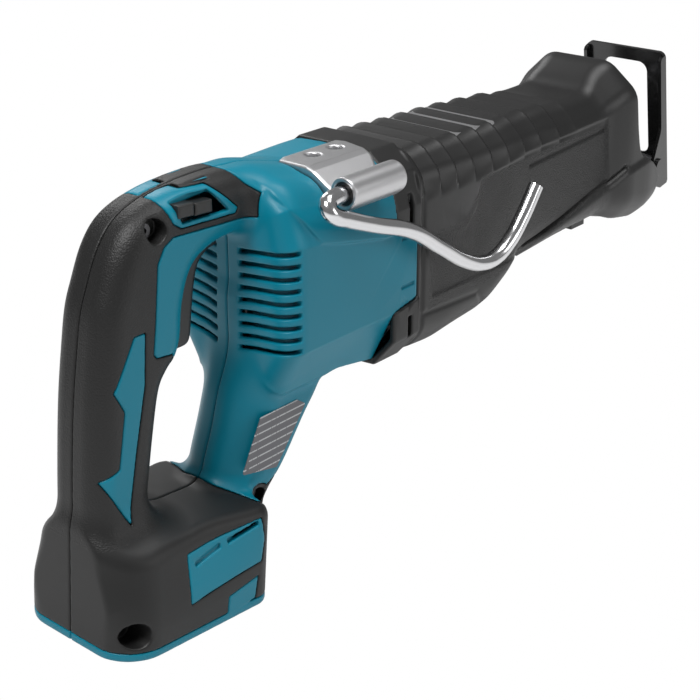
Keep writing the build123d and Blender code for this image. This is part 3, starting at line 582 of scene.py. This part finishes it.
@dataclass
class DHousing:
    """Both halves of the housing with their rubber: handle, foot, strut and motor body.

    Args:
        box: Source of materials.
        zones: Side outlines of the rubber and its inlays.
        screws: X, Z, radius and floor Y of each screw well.
        skin: Thickness of the rubber.
        wall: Thickness of the plastic.
        groove: Half width of the line between rubber and plastic.
    """

    box: Paintbox
    zones: Zones = field(default_factory=Zones)
    screws: tuple[tuple[float, float, float, float], ...] = (
        (51.0, 33.0, 5.2, -9.0), (11.0, -138.0, 6.0, -22.0), (101.0, -113.0, 5.0, -14.0))
    skin: float = 2.5
    wall: float = 3.0
    groove: float = 0.38

    def __post_init__(self) -> None:
        self.grid = Lattice((-8.0, -46.0, -166.0), (204.0, 1.6, 56.0), 0.72)
        g = self.grid
        self.flat_x, self.flat_z = g.x, g.z
        self.across = np.abs(g.y)

    def handle(self) -> Array:
        """Rear column and top arm."""
        outline = Outline([
            (1.6, -130), (6, -107), (8.8, -74), (12.6, -40), (17, -14), (20.4, 2), (24.8, 13), (31, 26),
            (38.8, 35.6),
            (49, 41.4), (64.3, 45.2), (84, 46.9), (102, 46.6), (124, 43), (142, 36.5), (146, 26),
            (134, 17.5), (118, 17), (98, 17.2),
            (84, 15), (74, 9), (68.5, -4), (66, -20), (62, -29), (56.5, -34), (52, -41), (47.5, -60),
            (43.5, -81),
            (41, -96), (41, -114), (41, -130),
        ])
        return prism(outline.distance(self.flat_x, self.flat_z), self.across - 17.0, 11.5)

    def foot(self) -> Array:
        """Battery foot with its domed top."""
        g = self.grid
        z = g.z - FOOT_LOW_Z
        u = g.x * math.cos(FOOT_TILT) - z * math.sin(FOOT_TILT)
        w = g.x * math.sin(FOOT_TILT) + z * math.cos(FOOT_TILT)
        self.w = w
        r = np.where(u < 40, 21.0, 9.0)
        self.u = u
        waist = 6.0 * step_up(w, 12.0, 52.0) * step_up(-u, -92.0, -50.0)
        a, b = np.abs(u - 46.0) - 46.0 + 0.6 * waist + r, self.across - 38.0 + waist + r
        plan = np.hypot(np.maximum(a, 0), np.maximum(b, 0)) + np.minimum(np.maximum(a, b), 0) - r
        crown = 53.0 - (self.across / 38.0) ** 2 * 4.0 - 5.0 * step_up(u, 60, 0)
        solid = smax(plan, w - crown, 6.0)
        return smax(solid, -w, 2.5)

    def strut(self) -> Array:
        """Sloping strut with a wide, rounded back."""
        outline = Outline([
            (109, -14), (107, -39), (97, -59), (90.5, -80), (83, -100), (78, -128), (102.5, -128),
            (109.5, -115),
            (121.8, -103), (136, -85), (150, -67), (157, -40), (155, -14),
        ])
        solid = prism(outline.distance(self.flat_x, self.flat_z), self.across - 22.0, 8.0)
        back = Profile([(-128, 78), (-100, 83), (-80, 90.5), (-59, 97), (-39, 107),
                        (-14, 109)]).at(self.flat_z)
        return smax(solid, (back + 9.0 * (self.across / 16.0) ** 2 - self.flat_x) * 0.7, 4.0)

    def body(self) -> Array:
        """Motor body with its bulging shoulders."""
        g = self.grid
        top = Profile([(90, 44), (113, 42.4), (136, 37.6), (169, 38.8), (204, 38.8)]).at(g.x) - 40.0
        low = Profile([(120, -61), (152, -61.5), (168, -64), (198, -69)]).at(g.x) + 65.0
        z = g.z - top * step_up(g.z, 5, 30) - low * step_up(-g.z, 30, 60)
        section = Outline([(0, 37), (22, 36.5), (33, 28), (38.3, 12), (38.3, -38.5), (25, -65), (0, -65),
                           (-25, -65), (-38.3, -38.5), (-38.3, 12), (-33, 28), (-22, 36.5)], Corner.SHARP)
        flank = section.distance(g.y, z) - 0.8
        flank = smax(flank, 107.0 - g.x, 12.0)
        shoulder = Outline([(-60, 60), (-60, -30), (-41.3, -30), (-41.3, 12), (-36.8, 27), (-26, 39),
                            (-14, 40.5),
                            (14, 40.5), (26, 39), (36.8, 27), (41.3, 12), (41.3, -30), (60, -30)][2:-1],
                           Corner.CUT)
        dome = shoulder.distance(g.y, z)
        crease = Outline([(108, 70), (108, 34), (118, 24), (127, 12.5), (140, 9), (171, 2.8), (230, 1),
                          (230, 70)],
                         Corner.SHARP).distance(self.flat_x, self.flat_z)
        dome = smax(smax(dome, crease, 1.0), 108.0 - g.x, 14.0)
        return smin(flank, dome, 1.5)

    def front_line(self) -> Array:
        """Front edge of the housing: a tongue on each side, further back elsewhere."""
        g = self.grid
        edge = 180.0 + 18.0 * step_up(-np.abs(g.z + 18.5), -21.0, -16.0)
        return g.x - edge

    def vents(self) -> Array:
        """Slots of the motor body's rear face."""
        g = self.grid
        slots = np.full(self.grid.shape, 9.0, np.float32)
        for row in range(9):
            z = 9.0 - 5.9 * row + (self.across - 24.0) * 0.12
            slot = np.maximum(np.abs(g.z - z) - 1.15, np.abs(g.x - 106.0) - 9.0)
            slots = np.minimum(slots, np.maximum(slot, np.maximum(7.0 - self.across, self.across - 41.0)))
        return slots

    def build(self) -> None:
        """Makes the four shells, two of plastic and two of rubber."""
        g, zones = self.grid, self.zones
        handle, foot = self.handle(), self.foot()
        d_shape = smin(handle, foot, 20.0)
        d_shape = smin(d_shape, self.body(), 8.0)
        d_shape = smax(d_shape, 0.6 - self.u, 1.0)
        d_shape = smin(d_shape, self.strut(), 8.0)
        rubber = zones.rubber.distance(self.flat_x, self.flat_z)
        rubber = np.maximum(rubber, np.minimum(self.across - 20.5, np.minimum(g.z, g.x - 95.0)))
        cut = [zones.arrow, zones.bezel, zones.side_panel, zones.patch]
        inlays = [z.distance(self.flat_x, self.flat_z) for z in cut]
        near_side = (1.5, 1.5, 30.0, 30.0)
        for inlay, depth in zip(inlays, near_side):
            rubber = np.maximum(rubber, -np.maximum(inlay, depth - self.across))
        lozenge = np.maximum(np.abs(g.x - 77.0 + (g.z - 48.0)) - 10.0, np.abs(self.across - 9.0) - 1.6)
        rubber = np.maximum(rubber, -np.maximum(lozenge, 46.0 - g.z))
        groove = np.maximum(self.groove - np.abs(rubber), 0.0) * (self.w > 7.0)
        surface = d_shape + groove
        skin = smax(np.maximum(d_shape, rubber + 0.12), -(d_shape + self.skin), 0.3)
        core = smax(surface, smin(0.12 - rubber, d_shape + self.skin + 0.1, 0.3), 0.5)
        core = np.maximum(core, self.front_line())
        hollow = d_shape + np.where(rubber < 0, self.skin, 0.0) + self.wall
        for x, z, r, seat in self.screws:
            boss = np.maximum(np.hypot(g.x - x, g.z - z) - r - 2.4, g.y - seat - 4.0)
            hollow = np.maximum(hollow, -boss)
            skin = np.minimum(skin, np.maximum(boss, d_shape + 0.5))
            core = np.maximum(core, 0.1 - boss)
        baffle = np.maximum(np.abs(g.x - 117.0) - 1.0,
                            np.maximum(self.across - 38.0, np.abs(g.z + 12.0) - 46.0))
        baffle = np.maximum(np.maximum(baffle, d_shape + 1.5), 6.0 - np.hypot(g.y, g.z - MOTOR_Z))
        hollow = np.maximum(hollow, -baffle)
        core = np.maximum(core, -hollow)
        window = zones.window.distance(self.flat_x, self.flat_z)
        trigger = np.maximum(np.maximum(50.0 - g.x, g.x - 97.0),
                             np.maximum(self.across - 8.3, np.abs(g.z + 0.5) - 30.5))
        bay = np.maximum(np.maximum(24.0 - g.x, self.across - 27.0), self.w - 17.0)
        opening = np.maximum(window, 12.0 - self.across)
        opening = np.minimum(opening, np.minimum(trigger, bay))
        slots = self.vents()
        panel_slots = np.minimum(
            np.maximum(np.abs(g.x - 55.0) - 8.0, np.abs(g.z + 117.6 + (55 - g.x) * 0.16) - 1.3),
            np.maximum(np.abs(g.x - 76.0) - 9.0, np.abs(g.z + 114.8 + (76 - g.x) * 0.16) - 1.3))
        panel_slots = np.maximum(panel_slots, 32.5 - self.across)
        notch = np.minimum(np.abs(g.z + 2.0), np.abs(g.z + 27.0)) - 0.9
        notch = np.maximum(np.maximum(notch, np.abs(g.x - 191.0) - 5.0), 38.0 - self.across)
        core = smax(core, -slots, 0.6)
        core = np.maximum(core, -np.minimum(panel_slots, notch))
        for values, colour, name, nodes in (
            (core, "teal_plastic", "shell", "housing"),
            (skin, "black_rubber", "skin", "grip"),
        ):
            values = smax(values, -opening, 0.5)
            values = smax(values, g.y + 0.14, 0.7)
            for side in ("right", "left"):
                shaped = values
                if side == "right":
                    for x, z, r, seat in self.screws:
                        well = np.maximum(np.hypot(g.x - x, g.z - z) - r, g.y - seat)
                        shaped = smax(shaped, -well, 1.0)
                shaped = np.maximum(shaped, -self.bracket_seat(side))
                extra = [f"strut_pad_{side}"] if nodes == "grip" else []
                obj = self.grid.skin(shaped, f"{name}_{side}", mirror=side == "left")
                settle(obj, "saw_body", colour, [f"{nodes}_{side}"] + extra, self.box)

    def bracket_seat(self, side: str) -> Array:
        """Pocket for the hook bracket, on the right only."""
        g = self.grid
        if side == "left":
            return np.full(g.shape, 9.0, np.float32)
        floor = np.interp(-g.y, [0, 20, 27, 60], [34, 34, 29, 27])
        plan = HookBracket.plan(g.x, g.y) - 0.3
        return np.maximum(plan, floor - g.z)


# --------------------------------------------------------------- front boot
@dataclass
class FrontBoot:
    """Rubber boot over the gear housing, with ribs, finger guard and open nose.

    Args:
        box: Source of materials.
        ribs: X of each rib's rear edge.
        rib_depth: Depth of the step between ribs.
        wall: Thickness of the rubber.
        mouth_x: X where the open nose begins.
    """

    box: Paintbox
    ribs: tuple[float, ...] = (204.0, 217.0, 231.0, 246.0, 262.0, 277.0, 293.0, 310.0, 329.0, 347.0)
    rib_depth: float = 3.0
    wall: float = 4.2
    mouth_x: float = 405.6

    def __post_init__(self) -> None:
        self.grid = Lattice((176.0, -44.0, -78.0), (462.0, 44.0, 50.0), 0.85)

    def outer(self) -> Array:
        """Outside of the boot, before its details."""
        g = self.grid
        half = Profile([(198, 38.6), (284, 37.4), (300, 35.6), (384, 33.2), (396, 36), (404, 37.2),
                        (430, 35.5),
                        (462, 31)], 4).at(g.x)
        top = Profile([(196, 39.5), (203, 38.5), (224, 37.5), (251, 36), (293, 35.5), (322, 34.5),
                       (353, 30.5),
                       (376, 31), (386, 38.5), (396, 43.6), (404, 44.3), (422, 40.5), (438, 36.5),
                       (462, 29)], 4).at(g.x) - step_up(-g.x, -385, -365)
        low = Profile([(196, -71), (223, -73), (244, -71), (266, -69.5), (285, -59.5), (296, -50.5),
                       (342, -48.5),
                       (385, -48.5), (407, -54), (430, -59), (462, -58)], 5).at(g.x) + 1.2
        mid, tall = (top + low) / 2, (top - low) / 2
        r = 8.0
        a, b = np.abs(g.y) - half + r, np.abs(g.z - mid) - tall + r
        shape = np.hypot(np.maximum(a, 0), np.maximum(b, 0)) + np.minimum(np.maximum(a, b), 0) - r
        bevel = 12.5 + 4.0 * step_up(g.x, 372, 392)
        shape = smax(shape, (np.abs(g.y) - half + g.z - top + bevel) * 0.7071, 4.0)
        shape = smax(shape, (np.abs(g.y) - half - g.z + low + 13.0) * 0.7071, 5.0)
        return shape

    def build(self) -> None:
        """Makes the boot."""
        g = self.grid
        shape = self.outer()
        upper = step_up(g.z, 11.0, 21.0)
        depth = np.zeros_like(g.x)
        for rear, front in zip(self.ribs[:-1], self.ribs[1:]):
            t = (g.x - rear) / (front - rear)
            depth = depth + np.where((t >= 0) & (t < 1),
                                     np.clip(t * 12.0, 0, 1) * np.clip(1 - t, 0, 1) ** 0.8, 0.0)
        shape = shape + self.rib_depth * depth * upper
        right = (np.abs(g.y) > 26.0)
        side_line = Polyline([(301, 7.0), (380, 9.5)]).distance(g.x, g.z)
        slit = Polyline([(305, -40), (329, -35), (360, -28), (386, -23), (400, -17)]).distance(g.x, g.z)
        lobe = Outline([(300, -44), (329, -35), (360, -28), (386, -23), (400, -17), (470, -12), (470, -90),
                        (300, -90)], Corner.SHARP).distance(g.x, g.z)
        shape = shape - 1.8 * step_up(-lobe, -0.5, 5.0) * right * step_up(-g.x, -452, -420)
        shape = shape + right * (1.3 * np.exp(-((side_line / 0.9) ** 2)) + 2.6 * np.exp(-((slit / 1.1) ** 2)))
        panel = Outline([(209, -7), (240, -11), (249, -2), (252, 12), (297, 15), (381, 16), (386, -22),
                         (300, -42),
                         (212, -40)], Corner.SHARP).distance(g.x, g.z)
        shape = shape + 1.0 * step_up(-panel, -0.3, 0.9) * right
        facet = Polyline([(206, -47), (252, -50), (262, -60)]).distance(g.x, g.z)
        shape = shape + right * 0.8 * np.exp(-((facet / 1.4) ** 2))
        collar = np.maximum(self.collar(), 179.9 - g.x)
        shape = smax(shape, 199.2 - g.x, 1.0)
        groove = np.exp(-(((g.x - 203.5) / 1.2) ** 2))
        shape = shape + 1.0 * groove
        shape = np.minimum(shape, collar)
        for low, high in ((3.5, 19.0), (-55.0, -43.5)):
            slot = np.maximum(np.abs(g.x - 192.6) - 1.6, np.maximum(low - g.z, g.z - high))
            shape = smax(shape, -np.maximum(slot, 36.8 - np.abs(g.y)), 0.6)
        front = Outline([(400, 60), (402, 44), (408.5, 22), (413.5, 1), (420, -13), (436, -22), (446, -30),
                         (447, -38),
                         (441, -48), (430, -54), (424, -62), (424, -90), (520, -90), (520, 60)])
        shape = smax(shape, -front.distance(g.x, g.z), 2.0)
        inner = np.maximum(self.outer() + self.wall, g.x - 407.0)
        mouth_half = Profile([(405, 26), (470, 28)], 1).at(g.x)
        mouth_top = Profile([(405, 24), (470, 32)], 1).at(g.x)
        mouth_low = Profile([(405, -42), (470, -52)], 1).at(g.x)
        mouth = np.maximum(np.abs(g.y) - mouth_half, np.maximum(g.z - mouth_top, mouth_low - g.z))
        mouth = smax(mouth, self.mouth_x - g.x, 1.0)
        shape = smax(shape, -inner, 0.6)
        shape = smax(shape, -mouth, 2.0)
        button = np.maximum(np.maximum(np.abs(g.x - 399.0) - 7.3, np.abs(g.y) - 7.3), g.z + 47.0)
        shape = np.maximum(shape, -button)
        obj = self.grid.skin(shape, "boot", limit=170000)
        settle(obj, "saw_body", "boot_rubber", ["front_boot"], self.box)

    def collar(self) -> Array:
        """Band round the front of the housing, open at the two tongues."""
        g = self.grid
        section = Outline([(0, 39.4), (22, 39), (34.5, 29), (39.2, 13), (39.2, -54), (26, -69.5),
                           (0, -71.5),
                           (-26, -69.5), (-39.2, -54), (-39.2, 13), (-34.5, 29), (-22, 39)], Corner.SHARP)
        ring = section.distance(g.y, g.z) - 0.6
        edge = 180.0 + 22.0 * step_up(-np.abs(g.z + 18.5), -20.5, -16.5) * (np.abs(g.y) > 30)
        band = smax(smax(ring, edge - g.x, 1.4), g.x - 200.5, 1.2)
        band = np.maximum(band, -(ring + 3.2))
        seat = np.maximum(HookBracket.plan(g.x, g.y) - 0.3, 26.0 - g.z)
        return np.maximum(band, -seat)


# ------------------------------------------------------------ hook and bracket
@dataclass
class HookBracket:
    """Cast bracket with its barrel, and the folding wire hook.

    Args:
        box: Source of materials.
        barrel_x: Rear and front end of the barrel.
        axis: Y and Z of the hook's pivot axis.
        barrel_r: Outer radius of the barrel.
        bore_r: Radius of its bore.
        wire_r: Radius of the wire.
    """

    box: Paintbox
    barrel_x: tuple[float, float] = (134.5, 171.0)
    axis: tuple[float, float] = (-46.0, 35.0)
    barrel_r: float = 7.5
    bore_r: float = 5.5
    wire_r: float = 4.0

    @staticmethod
    def plan(x: Array, y: Array) -> Array:
        """Outline of the bracket seen from above."""
        shape = Outline([(139, -3), (139, -46), (171, -46), (171, -38), (179, -26), (183.5, -6),
                         (181.5, -0.6),
                         (144, -0.6)], Corner.SHARP)
        return shape.distance(x, y)

    def build(self) -> None:
        """Makes the bracket and the wire."""
        g = Lattice((132.0, -57.0, 20.0), (188.0, 2.0, 45.0), 0.4)
        y, z = g.y, g.z
        deck = np.interp(y, [-60, -44, -38, -32, -24, -20, 0], [30.5, 31, 32.2, 35.2, 40.0, 41.3, 41.3])
        floor = np.interp(y, [-60, -27, -20, 0], [27.3, 29.3, 34.3, 34.3])
        plate = smax(self.plan(g.x, y), z - deck, 1.6)
        plate = np.maximum(plate, floor - z)
        plate = np.maximum(plate, y + 0.4)
        barrel = np.hypot(y - self.axis[0], z - self.axis[1]) - self.barrel_r
        span = np.abs(g.x - sum(self.barrel_x) / 2) - (self.barrel_x[1] - self.barrel_x[0]) / 2
        barrel = prism(barrel, span, 0.8)
        solid = smin(plate, barrel, 5.0)
        bore = np.maximum(np.hypot(y - self.axis[0], z - self.axis[1]) - self.bore_r, span - 1.0)
        solid = smax(solid, -bore, 0.5)
        for x in (156.0, 172.0):
            hole = np.hypot(g.x - x, y + 9.0)
            solid = smax(solid, -np.maximum(hole - 3.4, 35.5 - z), 1.6)
            solid = smax(solid, -np.maximum(hole - 1.5, 30.0 - z), 0.2)
        settle(g.skin(solid, "bracket"), "saw_body", "cast_aluminium", ["hook_bracket"], self.box)
        self.wire()

    def wire(self) -> None:
        """The bent wire, as a swept tube along a smooth line."""
        y, side = self.axis[0], self.axis[0] - 4.9
        knots = [(170, y, 35), (150, y, 35), (136, y, 35), (127, y - 0.4, 35), (122.2, y - 1.6, 34),
                 (121, y - 3.6, 31.2), (123.5, side + 0.3, 28.6), (131, side, 25.2), (149, side, 18),
                 (178, side, 7),
                 (200, side, -7), (222, side, -20.5), (235, side, -25.4), (247, side, -26),
                 (259, side, -21),
                 (270, side, -11), (282, side, 4)]
        curve = bpy.data.curves.new("hook_line", "CURVE")
        curve.dimensions = "3D"
        spline = curve.splines.new("BEZIER")
        spline.bezier_points.add(len(knots) - 1)
        for point, knot in zip(spline.bezier_points, knots):
            point.co = ((knot[0] - MOUTH_X) * MM, knot[1] * MM, knot[2] * MM)
            point.handle_left_type = point.handle_right_type = "AUTO"
        curve.bevel_depth = self.wire_r * MM
        curve.bevel_resolution = 10
        curve.resolution_u = 10
        curve.use_fill_caps = True
        line = bpy.data.objects.new("hook_line", curve)
        bpy.context.scene.collection.objects.link(line)
        graph = bpy.context.evaluated_depsgraph_get()
        mesh = bpy.data.meshes.new_from_object(line.evaluated_get(graph))
        bpy.data.objects.remove(line)
        mesh.polygons.foreach_set("use_smooth", [True] * len(mesh.polygons))
        obj = bpy.data.objects.new("hook", mesh)
        bpy.context.scene.collection.objects.link(obj)
        settle(obj, "hook", "bright_steel", ["hook_wire"], self.box)


# ------------------------------------------------------------------ controls
@dataclass
class Controls:
    """Trigger and lock-off button."""

    box: Paintbox

    def build(self) -> None:
        """Makes both controls."""
        g = Lattice((58.0, -12.0, -34.0), (98.0, 12.0, 30.0), 0.4)
        outline = Outline([
            (70, 24), (76, 27), (86, 26), (92.5, 18), (94.5, 14), (88, 12), (82.5, 7.5), (79.5, -2),
            (77.5, -14),
            (76, -24), (73.5, -28), (68, -28.6), (63, -28), (63, -12), (65, 4),
        ]).distance(g.x, g.z)
        trigger = prism(outline, np.abs(g.y) - 7.9, 3.0)
        trigger = np.maximum(trigger, 2.06 - np.hypot(g.x - 79.0, g.z - 21.5))
        settle(g.skin(trigger, "trigger_piece"), "trigger_body", "black_plastic", ["trigger"], self.box)
        g = Lattice((58.0, -20.0, 30.0), (90.0, 14.5, 45.0), 0.35)
        button = None
        for centre, half, top in ((67.0, 4.6, 0.6), (77.5, 5.2, 0.0)):
            z = g.z - (37.4 + top) - (g.x - 72.0) * -0.06
            block = np.maximum(np.abs(g.x - centre) - half, np.abs(z) - 2.9)
            raised = prism(block, np.abs(g.y + 1.9) - 15.4 - top * 0.7, 1.2)
            button = raised if button is None else smin(button, raised, 0.5)
        web = np.maximum(np.maximum(np.abs(g.x - 72.0) - 6.0, np.abs(g.z - 37.0) - 2.2),
                         np.abs(g.y + 1.5) - 12.5)
        button = np.minimum(button, web)
        settle(g.skin(button, "lock_button"), "lock_off", "black_plastic", ["lock_off_button"], self.box)


# ----------------------------------------------------------------- the rest
@dataclass
class CarriedParts:
    """CAD nodes that keep their own mesh."""

    box: Paintbox

    def build(self) -> None:
        """Gives each shown CAD node the finish of its slot."""
        slots = {s["node"]: s["material_slot"] for s in frame["record"]["subparts"]}
        for name, obj in frame["nodes"].items():
            if not obj.data.materials:
                obj.data.materials.append(None)
            for n in range(len(obj.material_slots)):
                obj.material_slots[n].link = "OBJECT"
                obj.material_slots[n].material = self.box.material(SLOT_FINISH[slots[name]])
            if name in ("shoe_plate", "shoe_bar", "shoe_pin"):
                bevel = obj.modifiers.new("edge", "BEVEL")
                bevel.width = 0.0006
                bevel.segments = 2
                bevel.limit_method = "ANGLE"
                bevel.harden_normals = False


@dataclass
class Studio:
    """White sweep, soft boxes and the camera.

    Args:
        lights: Name, place, size and power of each soft box.
    """

    lights: tuple[tuple[str, tuple[float, float, float], float, float], ...] = (
        ("key", (-1.1, -0.1, 1.3), 0.55, 22.0),
        ("top", (0.2, -0.3, 1.6), 0.8, 13.0),
        ("side", (0.4, -1.6, 0.5), 0.8, 6.0),
        ("rim", (0.3, 1.3, 0.9), 0.8, 7.5),
    )

    def build(self) -> None:
        """Makes floor, lights, world and camera."""
        scene = bpy.context.scene
        scene.view_settings.view_transform = "Standard"
        low = FOOT_LOW_Z * MM - 0.0085
        mesh = bpy.data.meshes.new("floor")
        mesh.from_pydata([(-6, -6, low), (6, -6, low), (6, 6, low), (-6, 6, low)], [], [(0, 1, 2, 3)])
        floor = bpy.data.objects.new("floor", mesh)
        scene.collection.objects.link(floor)
        mat = bpy.data.materials.new("floor_white")
        mat.use_nodes = True
        kit = NodeKit(mat.node_tree)
        shader = mat.node_tree.nodes["Principled BSDF"]
        shader.inputs["Base Color"].default_value = (0.8, 0.8, 0.8, 1)
        shader.inputs["Roughness"].default_value = 0.9
        glow = kit.add("ShaderNodeEmission")
        glow.inputs["Color"].default_value = (1, 1, 1, 1)
        sight = kit.add("ShaderNodeLightPath")
        mix = kit.add("ShaderNodeMixShader")
        kit.link(sight.outputs["Is Camera Ray"], mix.inputs[0])
        kit.link(shader.outputs[0], mix.inputs[1])
        kit.link(glow.outputs[0], mix.inputs[2])
        kit.link(mix.outputs[0], mat.node_tree.nodes["Material Output"].inputs["Surface"])
        mesh.materials.append(mat)
        world = bpy.data.worlds.new("white")
        world.use_nodes = True
        scene.world = world
        back = world.node_tree.nodes["Background"]
        kit = NodeKit(world.node_tree)
        sight = kit.add("ShaderNodeLightPath")
        level = kit.maths("ADD", kit.maths("MULTIPLY", sight.outputs["Is Camera Ray"], 0.78), 0.22)
        back.inputs["Color"].default_value = (1, 1, 1, 1)
        kit.link(level, back.inputs["Strength"])
        for name, place, size, power in self.lights:
            light = bpy.data.lights.new(name, "AREA")
            light.size = size
            light.energy = power
            obj = bpy.data.objects.new(name, light)
            obj.location = place
            aim = Vector((-0.2, 0, -0.04)) - Vector(place)
            obj.rotation_euler = aim.to_track_quat("-Z", "Y").to_euler()
            scene.collection.objects.link(obj)
        self.camera(scene)

    @staticmethod
    def camera(scene: bpy.types.Scene) -> None:
        """Camera from behind and to the right, looking slightly down."""
        azimuth, height, reach = math.radians(-49.58), math.radians(23.47), 0.750
        back = Vector((math.sin(azimuth) * math.cos(height), -math.cos(azimuth) * math.cos(height),
                       math.sin(height)))
        target = Vector((-0.248, 0.0, -0.0624))
        data = bpy.data.cameras.new("view")
        data.lens = 75.09
        data.sensor_width = 36.0
        data.shift_x, data.shift_y = 0.0024, -0.028
        data.clip_start = 0.05
        camera = bpy.data.objects.new("view", data)
        camera.location = target + back * reach
        camera.rotation_euler = (-back).to_track_quat("-Z", "Y").to_euler()
        scene.collection.objects.link(camera)
        scene.camera = camera


def main() -> None:
    """Builds the saw in order."""
    logging.basicConfig(level=logging.INFO)
    box = Paintbox()
    CarriedParts(box).build()
    DHousing(box).build()
    FrontBoot(box).build()
    HookBracket(box).build()
    Controls(box).build()
    Studio().build()


if __name__ == "__main__":
    main()
